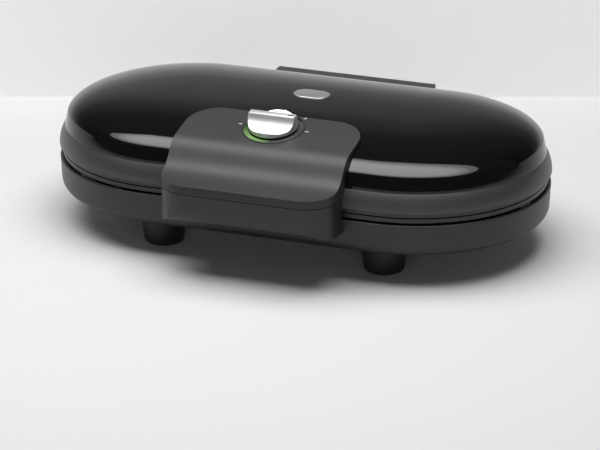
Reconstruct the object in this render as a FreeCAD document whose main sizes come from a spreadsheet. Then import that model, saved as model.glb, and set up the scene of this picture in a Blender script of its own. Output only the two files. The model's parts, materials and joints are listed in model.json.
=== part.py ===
import FreeCAD, Part
import math
import os

import Sketcher
from FreeCAD import Placement, Rotation, Vector

# Donut maker: a low stadium-shaped appliance with a hinged lid and eight ring moulds.
# Millimetres, +X to the right, +Y to the back, +Z up.
# The origin is on the floor, under the middle of the whole footprint.

SIZES = {
    # plan of the shell
    "half_straight": 88.0, "end_radius": 102.0,
    # lower housing
    "base_z": 25.0, "base_radius": 92.7, "base_round": 8.0, "housing_top_z": 49.8,
    "housing_setback": 0.4, "housing_wall": 2.4,
    # plates and moulds
    "plate_radius": 99.2, "lower_plate_z": 50.9, "lower_face_z": 54.75,
    "upper_face_z": 55.05, "upper_plate_z": 60.0,
    "mould_pitch": 78.0, "ring_radius": 23.5, "ring_section": 12.5, "mould_wall": 2.5,
    "boss_radius": 6.5, "screw_radius": 1.95, "tap_radius": 2.0, "pass_radius": 2.2,
    "head_radius": 3.7, "recess_radius": 4.1, "head_height": 2.2, "end_boss_x": 165.0,
    # heaters and reflectors
    "heater_radius": 3.3, "heater_row": 39.0, "heater_end_x": 100.0, "heater_gap": 12.0,
    "heater_bend": 10.0, "heater_lead_y": 80.0, "lower_heater_z": 36.3, "upper_heater_z": 73.5,
    "reflector_radius": 88.0, "reflector_sheet": 0.8, "reflector_depth": 6.0,
    "lower_reflector_z": 32.0, "upper_reflector_z": 78.0,
    # lid
    "rim_z": 58.8, "seam_z": 72.8, "seam_inset": 4.3, "rim_wall": 2.4, "rim_flange": 92.0,
    "flange_z": 60.0, "flange_sheet": 2.0, "dome_height": 26.4, "cover_wall": 2.2, "crown_part": 0.16,
    # handle
    "handle_half": 67.5, "handle_front_y": -136.0, "handle_back_y": -44.0,
    "handle_corner": 24.0, "lip_z": 73.5, "lip_base_z": 67.1, "handle_wall": 2.2,
    "block_top_z": 66.7, "block_low_z": 42.8, "block_root_z": 38.3, "block_sweep": 14.0,
    "block_back_y": -103.2, "block_inner_y": -85.0, "block_shelf_z": 48.6,
    # knob, drawn about its own axis and then tilted
    "knob_y": -63.6, "knob_z": 99.6, "knob_tilt": 10.8, "knob_radius": 18.2,
    "knob_skirt_z": 1.5, "knob_height": 12.0, "scoop_radius": 11.0, "scoop_y": 13.2,
    "scoop_z": 15.0, "hub_top_z": 7.4, "spindle_top_z": 6.8, "spindle_radius": 3.0, "running_gap": 0.05,
    "bezel_radius": 23.3, "lens_outer": 22.1, "lens_inner": 18.7, "bracket_hole_x": 27.0,
    # hinge
    "hinge_y": 112.0, "hinge_z": 68.0, "hinge_half": 64.2, "hinge_back_y": 120.0,
    "hinge_base_z": 60.0, "hinge_lid_z": 80.0, "hinge_top_z": 82.4, "hinge_wall": 2.4,
    "pin_radius": 3.0, "ear_radius": 8.0, "ear_inner_x": 65.2, "ear_outer_x": 74.0,
    "hinge_root_y": 90.0, "hinge_inner_y": 104.6,
    "rear_seat_y": 101.2, "rear_y": 126.0, "rear_top_z": 51.6, "rear_cover_z": 54.0,
    # feet
    "foot_x": 87.0, "foot_y": 64.8, "foot_top": 18.3, "foot_bottom": 14.7, "foot_z": 1.0,
    "pad_radius": 11.0, "pad_top_z": 4.0, "foot_hollow": 9.0, "foot_shelf_z": 20.0,
    # cord gland
    "gland_x": -40.0, "gland_z": 39.0, "gland_bore": 3.6, "gland_radius": 6.5,
    "gland_end_y": 136.0, "gland_collar": 9.0,
    # badge
    "badge_y": 18.0, "badge_half": 5.0, "badge_radius": 9.0, "badge_z": 98.4, "badge_top_z": 99.9,
}


class Size:
    """A number together with the sheet expression that gives it."""

    def __init__(self, number, text):
        self.number = number
        self.text = text

    def joined(self, other, sign, number):
        return Size(number, "(%s %s %s)" % (self.text, sign, size(other).text))

    def __add__(self, other):
        return self.joined(other, "+", self.number + size(other).number)

    def __sub__(self, other):
        return self.joined(other, "-", self.number - size(other).number)

    def __mul__(self, other):
        return self.joined(other, "*", self.number * size(other).number)

    def __truediv__(self, other):
        return self.joined(other, "/", self.number / size(other).number)

    def __rsub__(self, other):
        return size(other) - self

    def __neg__(self):
        return Size(-self.number, "(-%s)" % self.text)

    __radd__ = __add__
    __rmul__ = __mul__


def size(thing):
    """Turns a plain number into a Size and leaves a Size alone."""
    return thing if isinstance(thing, Size) else Size(float(thing), "%g" % thing)


class Sheet:
    """The sheet's cells by name, each as a Size."""

    def __getattr__(self, name):
        return Size(SIZES[name], "Dims." + name)


doc = FreeCAD.newDocument("DonutMaker")
sheet = doc.addObject("Spreadsheet::Sheet", "Dims")
for row, (alias, number) in enumerate(SIZES.items(), start=1):
    sheet.set("A%d" % row, alias)
    sheet.set("B%d" % row, "%g" % number)
    sheet.setAlias("B%d" % row, alias)
doc.recompute()

d = Sheet()
sub_parts = []


def sub_part(obj, label):
    """Names a finished piece and puts it on the list that is written out."""
    obj.Label = label
    sub_parts.append(obj)
    return obj


def bind(obj, **sizes):
    """Binds properties of an object to sheet expressions."""
    for prop, thing in sizes.items():
        obj.setExpression(prop, size(thing).text)


def place(obj, x=0, y=0, z=0):
    """Binds an object's position to the sheet."""
    for axis, thing in zip("xyz", (x, y, z)):
        obj.setExpression("Placement.Base." + axis, size(thing).text)
    return obj


# ---------------------------------------------------------------- Part primitives

def box(name, low, high):
    """Box between two corners."""
    obj = doc.addObject("Part::Box", name)
    bind(obj, Length=high[0] - size(low[0]), Width=high[1] - size(low[1]), Height=high[2] - size(low[2]))
    return place(obj, *low)


def cylinder(name, radius, length, at, axis="Z"):
    """Cylinder that starts at a point and runs along +X, +Y or +Z."""
    obj = doc.addObject("Part::Cylinder", name)
    bind(obj, Radius=radius, Height=length)
    turns = {"X": Rotation(Vector(0, 1, 0), 90), "Y": Rotation(Vector(1, 0, 0), -90), "Z": Rotation()}
    obj.Placement = Placement(Vector(), turns[axis])
    return place(obj, *at)


def torus(name, ring, section, at):
    """Full torus about a vertical axis."""
    obj = doc.addObject("Part::Torus", name)
    bind(obj, Radius1=ring, Radius2=section)
    return place(obj, *at)


def fuse(name, shapes):
    obj = doc.addObject("Part::MultiFuse", name)
    obj.Shapes = list(shapes)
    obj.Refine = True
    return obj


def cut(name, base, tools):
    """Base with every tool taken away."""
    obj = doc.addObject("Part::Cut", name)
    obj.Base = base
    obj.Tool = tools[0] if len(tools) == 1 else fuse(name + "_tools", tools)
    return obj


def common(name, first, second):
    obj = doc.addObject("Part::Common", name)
    obj.Base = first
    obj.Tool = second
    return obj


def group(name, shapes):
    """Identical separate solids that share one node."""
    obj = doc.addObject("Part::Compound", name)
    obj.Links = list(shapes)
    return obj


def solid_feature(name, shape):
    """A shape made with Part's own functions."""
    obj = doc.addObject("Part::Feature", name)
    obj.Shape = shape
    return obj


# ---------------------------------------------------------------- PartDesign bodies

def new_body(name):
    return doc.addObject("PartDesign::Body", name)


def new_sketch(body, role, offset=0):
    """Sketch on one of the body's origin planes, moved along the plane's normal."""
    sketch = body.newObject("Sketcher::SketchObject", body.Name + "_sketch")
    plane = [feature for feature in body.Origin.OriginFeatures if feature.Role == role][0]
    sketch.AttachmentSupport = [(plane, "")]
    sketch.MapMode = "FlatFace"
    sketch.setExpression("AttachmentOffset.Base.z", size(offset).text)
    return sketch


def draw_slot(sketch, half, radius):
    """Stadium outline: two half circles joined by straight runs along X."""
    half = size(half)
    radius = size(radius)
    a, r = half.number, radius.number
    up = Vector(0, 0, 1)
    quarter = math.pi / 2
    sketch.addGeometry([
        Part.ArcOfCircle(Part.Circle(Vector(a, 0, 0), up, r), -quarter, quarter),
        Part.LineSegment(Vector(a, r, 0), Vector(-a, r, 0)),
        Part.ArcOfCircle(Part.Circle(Vector(-a, 0, 0), up, r), quarter, 3 * quarter),
        Part.LineSegment(Vector(-a, -r, 0), Vector(a, -r, 0)),
    ], False)
    for edge in range(4):
        sketch.addConstraint(Sketcher.Constraint("Tangent", edge, 2, (edge + 1) % 4, 1))
    sketch.addConstraint(Sketcher.Constraint("Symmetric", 0, 3, 2, 3, -1, 1))
    sketch.addConstraint(Sketcher.Constraint("PointOnObject", 0, 3, -1))
    wide = sketch.addConstraint(Sketcher.Constraint("DistanceX", -1, 1, 0, 3, a))
    sketch.setExpression("Constraints[%d]" % wide, half.text)
    round_ends = sketch.addConstraint(Sketcher.Constraint("Radius", 0, r))
    sketch.setExpression("Constraints[%d]" % round_ends, radius.text)


def draw_polygon(sketch, corners):
    """Closed outline of straight edges, each corner bound to the sheet."""
    corners = [(size(x), size(y)) for x, y in corners]
    points = [Vector(x.number, y.number, 0) for x, y in corners]
    count = len(points)
    sketch.addGeometry([Part.LineSegment(points[i], points[(i + 1) % count]) for i in range(count)], False)
    for edge, corner in enumerate(corners):
        sketch.addConstraint(Sketcher.Constraint("Coincident", edge, 2, (edge + 1) % count, 1))
        for kind, axis, thing in (("DistanceX", -2, corner[0]), ("DistanceY", -1, corner[1])):
            if abs(thing.number) < 1e-9:
                sketch.addConstraint(Sketcher.Constraint("PointOnObject", edge, 1, axis))
                continue
            index = sketch.addConstraint(Sketcher.Constraint(kind, -1, 1, edge, 1, thing.number))
            sketch.setExpression("Constraints[%d]" % index, thing.text)


def pad(body, sketch, length, centred=False):
    feature = body.newObject("PartDesign::Pad", body.Name + "_pad")
    feature.Profile = sketch
    feature.Midplane = centred
    bind(feature, Length=length)
    return feature


def slot_body(name, half, radius, low, high):
    """Upright stadium prism."""
    body = new_body(name)
    sketch = new_sketch(body, "XY_Plane", low)
    draw_slot(sketch, half, radius)
    pad(body, sketch, high - size(low))
    return body


def turned_body(name, corners):
    """Body turned about its own Z axis from an outline of (radius, height) corners."""
    body = new_body(name)
    sketch = new_sketch(body, "XZ_Plane")
    draw_polygon(sketch, corners)
    turn = body.newObject("PartDesign::Revolution", name + "_turn")
    turn.Profile = sketch
    turn.ReferenceAxis = (sketch, ["V_Axis"])
    turn.Angle = 360
    return body


def round_edges(body, radius, wanted):
    """Fillets the edges of the body's last feature that the test picks."""
    doc.recompute()
    base = body.Tip
    edges = ["Edge%d" % (i + 1) for i, edge in enumerate(base.Shape.Edges) if wanted(edge)]
    fillet = body.newObject("PartDesign::Fillet", body.Name + "_fillet")
    fillet.Base = (base, edges)
    bind(fillet, Radius=radius)
    return fillet


def outline_body(name, inset, low, high, front, back, both_ends=False):
    """Upright prism of the handle's plan: straight sides and round corners at one end or both."""
    body = new_body(name)
    sketch = new_sketch(body, "XY_Plane", low)
    half = d.handle_half - inset
    draw_polygon(sketch, [(-half, front), (half, front), (half, back), (-half, back)])
    pad(body, sketch, high - size(low))
    corner = d.handle_corner - inset
    nearest = size(front).number
    round_edges(body, corner, lambda edge: is_upright(edge)
                and (both_ends or abs(edge.CenterOfMass.y - nearest) < 0.01))
    return body


def is_upright(edge):
    low, high = edge.BoundBox.ZMin, edge.BoundBox.ZMax
    return edge.BoundBox.XLength < 0.01 and edge.BoundBox.YLength < 0.01 and high - low > 1


def bend(name, ring, section, at, start, sweep):
    """Part of a torus: a round bar bent in a level arc."""
    obj = doc.addObject("Part::Torus", name)
    bind(obj, Radius1=ring, Radius2=section, Angle3=sweep)
    obj.Placement = Placement(Vector(), Rotation(Vector(0, 0, 1), start))
    return place(obj, *at)


def screw(name, at, length, upward=True):
    """Screw on a vertical axis: its head rests on the point, its shank runs up or down."""
    x, y, z = at
    head_z = z - size(d.head_height) if upward else z
    shank_z = z if upward else z - size(length)
    head = cylinder(name + "_head", d.head_radius, d.head_height, (x, y, head_z))
    shank = cylinder(name + "_shank", d.screw_radius, length, (x, y, shank_z))
    return fuse(name, [head, shank])


def tilt_to_knob(obj):
    """Moves a piece drawn about the knob's own axis onto the sloping panel."""
    obj.Placement = Placement(Vector(), Rotation(Vector(1, 0, 0), SIZES["knob_tilt"]))
    return place(obj, 0, d.knob_y, d.knob_z)


def on_knob_axis(name, radius, low, high):
    """Cylinder about the tilted knob axis, between two heights measured from the panel."""
    rod = cylinder(name + "_rod", radius, high - size(low), (0, 0, low))
    return tilt_to_knob(group(name, [rod]))


# ---------------------------------------------------------------- stadium shells

def spin_stadium(face):
    """Solid of a half section (radius along X, height along Z) taken round the stadium."""
    half = SIZES["half_straight"]
    up = Vector(0, 0, 1)
    facing_front = face.rotated(Vector(), up, -90)
    right = facing_front.translated(Vector(half, 0, 0)).revolve(Vector(half, 0, 0), up, 180)
    left = right.rotated(Vector(), up, 180)
    front = facing_front.translated(Vector(-half, 0, 0)).extrude(Vector(2 * half, 0, 0))
    back = front.rotated(Vector(), up, 180)
    return right.fuse([left, front, back]).removeSplitter()


def face_of(*edges):
    return Part.Face(Part.Wire(Part.__sortEdges__(list(edges))))


def line(start, end):
    return Part.LineSegment(Vector(start[0], 0, start[1]), Vector(end[0], 0, end[1])).toShape()


def rim_arc():
    """Side of the lid rim: upright at its foot, leaning in towards the seam."""
    low, high, inset = SIZES["rim_z"], SIZES["seam_z"], SIZES["seam_inset"]
    rise = high - low
    sweep_radius = (inset ** 2 + rise ** 2) / (2 * inset)
    outer = SIZES["end_radius"]
    turn = math.asin(rise / sweep_radius) / 2
    middle = Vector(outer - sweep_radius * (1 - math.cos(turn)), 0, low + sweep_radius * math.sin(turn))
    return Part.Arc(Vector(outer, 0, low), middle, Vector(outer - inset, 0, high)).toShape()


def arc_between(start, corner, end):
    """Arc from start to end whose end tangents meet at the corner."""
    middle = (start + end) * 0.5
    half_chord = start.distanceToPoint(middle)
    half_sweep = math.acos(half_chord / start.distanceToPoint(corner))
    bulge = (corner - middle).normalize() * (half_chord * math.tan(half_sweep / 2))
    return Part.Arc(start, middle + bulge, end).toShape()


def arc_pair(start, start_way, end, end_way):
    """Two arcs that flow into each other, leaving start one way and reaching end another."""
    across = end - start
    squared = 2 * (1 - start_way.dot(end_way))
    linear = 2 * across.dot(start_way + end_way)
    reach = (math.sqrt(linear ** 2 + 4 * squared * across.dot(across)) - linear) / (2 * squared)
    first, last = start + start_way * reach, end - end_way * reach
    joint = (first + last) * 0.5
    return [arc_between(start, first, joint), arc_between(joint, last, end)]


def dome_edges(inset):
    """Half section of the dome: arcs along a cubic superellipse from the seam up, then a flat crown."""
    radius = SIZES["end_radius"] - SIZES["seam_inset"] - inset
    height = SIZES["dome_height"] - inset
    seam = SIZES["seam_z"]
    crown_radius = SIZES["crown_part"] * radius
    crown_angle = math.asin(SIZES["crown_part"] ** 1.5)
    spans = 5
    stations = [(Vector(radius, 0, seam), Vector(0, 0, 1))]
    for span in range(1, spans):
        angle = math.pi / 2 + (crown_angle - math.pi / 2) * span / spans
        part = math.sin(angle) ** (2 / 3)
        rise = math.cos(angle) ** (2 / 3)
        way = Vector(-radius * rise ** 2, 0, height * part ** 2)
        stations.append((Vector(radius * part, 0, seam + height * rise), way.normalize()))
    stations.append((Vector(crown_radius, 0, seam + height), Vector(-1, 0, 0)))
    edges = []
    for below, above in zip(stations, stations[1:]):
        edges += arc_pair(*below, *above)
    return edges + [line((crown_radius, seam + height), (0, seam + height))]


def dome_solid(inset):
    """Solid under the dome, from the seam up."""
    radius = SIZES["end_radius"] - SIZES["seam_inset"] - inset
    seam = SIZES["seam_z"]
    crown = seam + SIZES["dome_height"] - inset
    foot, axis = line((0, seam), (radius, seam)), line((0, crown), (0, seam))
    return spin_stadium(face_of(foot, axis, *dome_edges(inset)))


def rim_solid():
    """Ring between the plates and the dome, with a flange that rests on the upper plate."""
    outer, wall = SIZES["end_radius"], SIZES["rim_wall"]
    seam, low = SIZES["seam_z"], SIZES["rim_z"]
    flange_low = SIZES["flange_z"]
    flange_high = flange_low + SIZES["flange_sheet"]
    seam_inner = outer - SIZES["seam_inset"] - wall + 0.1
    corners = [
        (outer - SIZES["seam_inset"], seam), (seam_inner, seam), (outer - wall, flange_high),
        (SIZES["rim_flange"], flange_high), (SIZES["rim_flange"], flange_low),
        (outer - wall, flange_low), (outer - wall, low), (outer, low),
    ]
    return spin_stadium(face_of(rim_arc(), *[line(corners[i], corners[i + 1]) for i in range(7)]))


def envelope_solid():
    """Everything inside the outer face of the rim and the dome."""
    outer, low = SIZES["end_radius"], SIZES["rim_z"]
    crown = SIZES["seam_z"] + SIZES["dome_height"]
    foot, axis = line((0, low), (outer, low)), line((0, crown), (0, low))
    return spin_stadium(face_of(foot, axis, rim_arc(), *dome_edges(0)))


envelope = solid_feature("lid_envelope", envelope_solid())
mould_places = [(column * d.mould_pitch, row * d.mould_pitch)
                for column in (-1.5, -0.5, 0.5, 1.5) for row in (-0.5, 0.5)]
boss_places = [(0, 0), (d.mould_pitch, 0), (-d.mould_pitch, 0), (d.end_boss_x, 0), (-d.end_boss_x, 0)]
foot_places = [(side * d.foot_x, depth * d.foot_y) for side in (-1, 1) for depth in (-1, 1)]
foot_names = ["front_left", "rear_left", "front_right", "rear_right"]


# ---------------------------------------------------------------- lower housing

def tub(name, wall, high, edge_round=0.0):
    """Stadium with a rounded foot and a slight lean: the housing's outside, or its inside less a wall."""
    flat, middle_z = SIZES["base_radius"], SIZES["base_z"] + SIZES["base_round"]
    out = SIZES["end_radius"] - SIZES["housing_setback"] - flat
    up = SIZES["housing_top_z"] - middle_z
    turn = math.atan2(up, out) - math.acos(SIZES["base_round"] / math.hypot(out, up))
    foot_round = SIZES["base_round"] - wall
    low = middle_z - foot_round
    half_turn = (turn - math.pi / 2) / 2
    belly = Vector(flat + foot_round * math.cos(half_turn), 0, middle_z + foot_round * math.sin(half_turn))
    bend_end = (flat + foot_round * math.cos(turn), middle_z + foot_round * math.sin(turn))
    lean = -math.tan(turn)
    high_radius = bend_end[0] + lean * (high - bend_end[1])
    shoulder = (high_radius - lean * edge_round, high - edge_round)
    foot_arc = Part.Arc(Vector(flat, 0, low), belly, Vector(bend_end[0], 0, bend_end[1]))
    edges = [line((0, low), (flat, low)), foot_arc.toShape(), line(bend_end, shoulder)]
    if edge_round:
        nudge = edge_round * (1 - math.sqrt(0.5))
        middle = Vector(high_radius - nudge, 0, high - nudge)
        inner = Vector(high_radius - edge_round, 0, high)
        edges.append(Part.Arc(Vector(shoulder[0], 0, shoulder[1]), middle, inner).toShape())
        edges.append(line((inner.x, high), (0, high)))
    else:
        edges.append(line(shoulder, (0, high)))
    edges.append(line((0, high), (0, low)))
    return solid_feature(name, spin_stadium(face_of(*edges)))


def handle_block(name, wall, top):
    """Lower grip: upright front face that sweeps back under and runs into the housing's side."""
    front = d.handle_front_y + wall
    sweep_z = d.block_low_z + 0.92 * size(wall)
    root_z = d.block_root_z + wall
    shelf_z = d.block_shelf_z - wall
    back = d.block_back_y - wall
    side = new_body(name + "_side")
    sketch = new_sketch(side, "YZ_Plane")
    draw_polygon(sketch, [(front, sweep_z), (d.block_inner_y, root_z), (d.block_inner_y, shelf_z),
                          (back, shelf_z), (back, top), (front, top)])
    pad(side, sketch, 2 * d.handle_half + 10, centred=True)
    nose = (front.number, sweep_z.number)
    round_edges(side, d.block_sweep - wall, lambda edge: edge.BoundBox.YLength < 0.01
                and abs(edge.CenterOfMass.y - nose[0]) < 0.01 and abs(edge.CenterOfMass.z - nose[1]) < 0.01)
    plan = outline_body(name + "_plan", wall, d.base_z, top, front, d.block_inner_y)
    return common(name, side, plan)


def ear(name, inner_x, outer_x):
    """Upright ear that carries one hinge pin."""
    low_x, high_x = (inner_x, outer_x) if inner_x.number < outer_x.number else (outer_x, inner_x)
    front, back = d.hinge_y - d.ear_radius, d.hinge_y + d.ear_radius
    post = box(name + "_post", (low_x, front, 46), (high_x, back, d.hinge_z))
    eye = cylinder(name + "_eye", d.ear_radius, high_x - low_x, (low_x, d.hinge_y, d.hinge_z), axis="X")
    return fuse(name, [post, eye])


def make_lower_housing():
    wall = d.housing_wall
    outside = tub("tub_outside", 0, SIZES["housing_top_z"], edge_round=1.0)
    rear_half = d.ear_outer_x
    rear_low = box("rear_low", (-rear_half, 80, d.base_z), (rear_half, d.rear_y, d.block_shelf_z))
    rear_high = box("rear_high", (-rear_half, d.rear_seat_y, d.block_shelf_z),
                    (rear_half, d.rear_y, d.rear_top_z))
    ears = [ear("ear_left", -d.ear_inner_x, -d.ear_outer_x), ear("ear_right", d.ear_inner_x, d.ear_outer_x)]
    block = handle_block("block_outside", 0, d.block_top_z)
    solid = fuse("housing_solid", [outside, block, rear_low, rear_high] + ears)
    hollows = [
        tub("tub_inside", SIZES["housing_wall"], 56),
        handle_block("block_inside", wall, d.block_top_z - wall),
        box("rear_hollow_low", (wall - rear_half, 70, d.base_z + wall),
            (rear_half - wall, d.rear_y - wall, d.block_shelf_z - wall)),
        box("rear_hollow_high", (-62.8, 103.6, 46), (62.8, d.rear_y - wall, 60)),
    ]
    shell = cut("housing_shell", solid, hollows)
    posts = [cylinder("post", d.boss_radius, d.lower_reflector_z - 26, (x, y, 26)) for x, y in boss_places]
    posts += [cylinder("foot_post", 5.5, 5.4, (x, y, 26)) for x, y in foot_places]
    cutters = []
    for x, y in boss_places:
        cutters.append(cylinder("post_bore", d.pass_radius, 20, (x, y, 20)))
        cutters.append(cylinder("post_recess", d.recess_radius, 29.6 - 20, (x, y, 20)))
    for x, y in foot_places:
        cutters.append(cylinder("foot_bore", d.tap_radius, 7, (x, y, 24)))
    for row in (-1, 1):
        for step in range(-4, 5):
            x, y = 10 * step, 30 * row
            cutters.append(box("vent", (x - 1.5, y - 12, 20), (x + 1.5, y + 12, 30)))
    pin_start = (-100, d.hinge_y, d.hinge_z)
    cutters.append(cylinder("pin_bore", d.pin_radius + d.running_gap, 200, pin_start, axis="X"))
    cutters.append(cylinder("wire_bore", d.pass_radius, d.hinge_z - 44, (69.5, d.hinge_y, 44)))
    gland_start = (d.gland_x, d.rear_y - 10, d.gland_z)
    cutters.append(cylinder("gland_hole", d.gland_radius + 0.1, 20, gland_start, axis="Y"))
    return cut("lower_housing_cut", fuse("housing_with_posts", [shell] + posts), cutters)


sub_part(make_lower_housing(), "lower_housing")

rear_cover = box("rear_cover_box", (-65, d.rear_seat_y, d.rear_top_z), (65, d.rear_y, d.rear_cover_z))
sub_part(rear_cover, "rear_cover")


# ---------------------------------------------------------------- feet

foot_outline = [
    (d.pad_radius + 0.2, d.foot_z), (d.foot_bottom, d.foot_z), (d.foot_top, d.base_z),
    (d.pass_radius, d.base_z), (d.pass_radius, d.foot_shelf_z), (d.foot_hollow, d.foot_shelf_z),
    (d.foot_hollow, d.pad_top_z), (d.pad_radius + 0.2, d.pad_top_z),
]
for foot_name, (x, y) in zip(foot_names, foot_places):
    foot = turned_body("foot_" + foot_name + "_body", foot_outline)
    round_edges(foot, 2.8, lambda edge: abs(edge.BoundBox.ZMax - SIZES["foot_z"]) < 0.01
                and abs(edge.BoundBox.XMax - SIZES["foot_bottom"]) < 0.01)
    sub_part(place(foot, x, y), "foot_" + foot_name)

pads = [cylinder("foot_pad", d.pad_radius, d.pad_top_z, (x, y, 0)) for x, y in foot_places]
sub_part(group("foot_pad_group", pads), "foot_pads")
foot_screws = [screw("foot_screw", (x, y, d.foot_shelf_z), 10.8) for x, y in foot_places]
sub_part(group("foot_screw_group", foot_screws), "foot_screws")


# ---------------------------------------------------------------- plates, heaters, reflectors

def mould_plate(name, low, high, face, bosses, bores, clear):
    """Cast plate: flat face, eight half-round ring moulds and five bosses on its back."""
    slab = slot_body(name + "_slab", d.half_straight, d.plate_radius, low, high)
    skin = d.ring_section + d.mould_wall
    skins = [torus(name + "_skin", d.ring_radius, skin, (x, y, face)) for x, y in mould_places]
    rings = [torus(name + "_ring", d.ring_radius, d.ring_section, (x, y, face)) for x, y in mould_places]
    return cut(name + "_cut", fuse(name + "_blank", [slab] + skins + bosses), [clear] + rings + bores)


lower_bosses = [cylinder("lower_boss", d.boss_radius, 18.5, (x, y, d.lower_reflector_z + d.reflector_sheet))
                for x, y in boss_places]
lower_bores = [cylinder("lower_bore", d.tap_radius, 14, (x, y, d.lower_reflector_z)) for x, y in boss_places]
above = box("above_face", (-200, -120, d.lower_face_z), (200, 120, 90))
sub_part(mould_plate("lower_plate", d.lower_plate_z, d.lower_face_z, d.lower_face_z,
                     lower_bosses, lower_bores, above), "lower_mould_plate")

upper_bosses = [cylinder("upper_boss", d.boss_radius, d.upper_reflector_z - 59, (x, y, 59))
                for x, y in boss_places]
upper_bores = [cylinder("upper_bore", d.pass_radius, 30, (x, y, 50)) for x, y in boss_places]
upper_bores += [cylinder("upper_recess", d.recess_radius, 57.5 - 50, (x, y, 50)) for x, y in boss_places]
below = box("below_face", (-200, -120, 30), (200, 120, d.upper_face_z))
sub_part(mould_plate("upper_plate", d.upper_face_z, d.upper_plate_z, d.upper_face_z,
                     upper_bosses, upper_bores, below), "upper_mould_plate")


def heater(name, level):
    """Tubular element: one loop over both rows of moulds, with two leads to the back."""
    row, end, gap, turn = d.heater_row, d.heater_end_x, d.heater_gap, d.heater_bend
    bar = d.heater_radius
    run = end - gap - turn
    lead = d.heater_lead_y - row - turn
    return fuse(name, [
        cylinder(name + "_front", bar, 2 * end, (-end, -row, level), axis="X"),
        cylinder(name + "_back_left", bar, run, (-end, row, level), axis="X"),
        cylinder(name + "_back_right", bar, run, (gap + turn, row, level), axis="X"),
        bend(name + "_left", row, bar, (-end, 0, level), 90, 180),
        bend(name + "_right", row, bar, (end, 0, level), -90, 180),
        bend(name + "_turn_left", turn, bar, (-gap - turn, row + turn, level), -90, 90),
        bend(name + "_turn_right", turn, bar, (gap + turn, row + turn, level), 180, 90),
        cylinder(name + "_lead_left", bar, lead, (-gap, row + turn, level), axis="Y"),
        cylinder(name + "_lead_right", bar, lead, (gap, row + turn, level), axis="Y"),
    ])


sub_part(heater("lower_heater_bar", d.lower_heater_z), "lower_heater")
sub_part(heater("upper_heater_bar", d.upper_heater_z), "upper_heater")


def reflector(name, sheet_z, skirt_z):
    """Sheet tray behind a heater, with a skirt, screw holes and a notch for the leads."""
    low, high = min(sheet_z.number, skirt_z.number), max(sheet_z.number, skirt_z.number)
    opens_up = skirt_z.number > sheet_z.number
    bottom, top = (sheet_z, skirt_z) if opens_up else (skirt_z, sheet_z)
    outside = slot_body(name + "_outside", d.half_straight, d.reflector_radius, bottom, top)
    inner_low = bottom + d.reflector_sheet if opens_up else bottom - 1
    inner_high = top + 1 if opens_up else top - d.reflector_sheet
    inside = slot_body(name + "_inside", d.half_straight, d.reflector_radius - d.reflector_sheet,
                       inner_low, inner_high)
    holes = [cylinder(name + "_hole", d.pass_radius, 20, (x, y, low - 5)) for x, y in boss_places]
    notch = box(name + "_notch", (-18, 80, inner_low), (18, 100, inner_high))
    return cut(name, outside, [inside, notch] + holes)


lower_tray = reflector("lower_tray", d.lower_reflector_z, d.lower_reflector_z + d.reflector_depth)
sub_part(lower_tray, "lower_reflector")
sub_part(reflector("upper_tray", d.upper_reflector_z + d.reflector_sheet,
                   d.upper_reflector_z + d.reflector_sheet - d.reflector_depth), "upper_reflector")
lower_screws = [screw("lower_screw", (x, y, 29.6), 15) for x, y in boss_places]
sub_part(group("lower_screw_group", lower_screws), "lower_plate_screws")
upper_screws = [screw("upper_screw", (x, y, 57.5), 27) for x, y in boss_places]
sub_part(group("upper_screw_group", upper_screws), "upper_plate_screws")


# ---------------------------------------------------------------- lid shell

def panel_height(y):
    """Height of the flat, sloping part of the handle panel under the knob."""
    return SIZES["knob_z"] + (y - SIZES["knob_y"]) * math.tan(math.radians(SIZES["knob_tilt"]))


def handle_prism(name, wall, low):
    """Handle's side profile run across X: flat lip, S-shaped rise, sloping knob panel."""
    front, back = SIZES["handle_front_y"], SIZES["handle_back_y"] + 10
    tilt = math.radians(SIZES["knob_tilt"])
    lip_end = Vector(0, front + 12, SIZES["lip_z"] + 0.5)
    shoulder = Vector(0, -86, panel_height(-86))
    rise = Part.BSplineCurve()
    rise.interpolate(Points=[lip_end, Vector(0, -106.5, 79.2), Vector(0, -98.6, 88.4), shoulder],
                     InitialTangent=Vector(0, 1, 0.1), FinalTangent=Vector(0, math.cos(tilt), math.sin(tilt)))
    inwards = Vector(0, 0.5 * wall, -0.95 * wall)
    lip = Vector(0, front, SIZES["lip_z"]) + inwards
    crest = Vector(0, back, panel_height(back)) + inwards
    curve = rise.toShape().translated(inwards)
    foot_front, foot_back = Vector(0, lip.y, low), Vector(0, back, low)
    edges = [
        Part.makeLine(lip, lip_end + inwards), curve, Part.makeLine(shoulder + inwards, crest),
        Part.makeLine(crest, Vector(0, back, low)), Part.makeLine(foot_back, foot_front),
        Part.makeLine(foot_front, lip),
    ]
    half = SIZES["handle_half"] + 5
    across = face_of(*edges).translated(Vector(-half, 0, 0)).extrude(Vector(2 * half, 0, 0))
    return solid_feature(name, across)


def handle_solid(name, wall, low):
    """The handle's outside, or its inside when a wall is taken off."""
    front, back = d.handle_front_y + wall, d.handle_back_y - wall
    plan = outline_body(name + "_plan", wall, low, 115, front, back, both_ends=True)
    return common(name, handle_prism(name + "_prism", wall, size(low).number), plan)


knob_hole = on_knob_axis("knob_hole", d.bezel_radius + 0.1, -6, 6)
board_hole = on_knob_axis("board_hole", 22.4, -14, 6)
handle_screw_places = [(side * 48, -119) for side in (-1, 1)] + [(side * 16, -119) for side in (-1, 1)]
hinge_screw_places = [-36, -12, 12, 36]


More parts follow.
